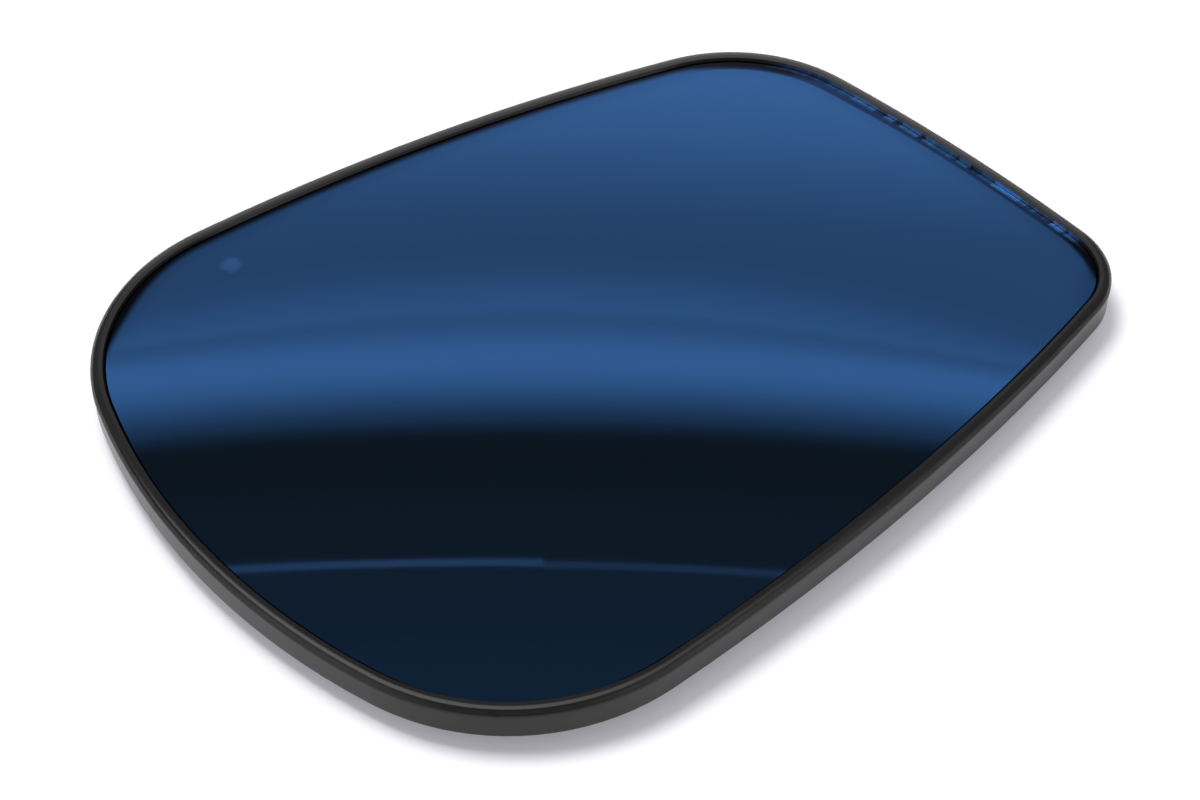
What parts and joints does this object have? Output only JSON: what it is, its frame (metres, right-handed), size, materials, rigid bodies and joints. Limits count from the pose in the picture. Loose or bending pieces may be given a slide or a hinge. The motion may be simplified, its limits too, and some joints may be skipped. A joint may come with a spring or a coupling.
{
  "type": "car door mirror glass",
  "caption": "Convex car door mirror glass with rounded corners, bonded into a black moulded holder that clips on to the mirror's drive.",
  "frame": {"origin": "centre of the pivot ring's mouth, in the plane that the back rests on", "axes": "+X inboard, +Y to the top edge, +Z out of the mirror's face"},
  "size_m": [0.1781, 0.1344, 0.0127],
  "materials": {
    "mirror": "polished, blue tinted",
    "adhesive": "matte foam",
    "holder": "satin, moulded"
  },
  "bodies": {
    "root": {"mirror_glass": "mirror", "adhesive_pad": "adhesive", "mirror_holder": "holder"}
  },
  "joints": []
}
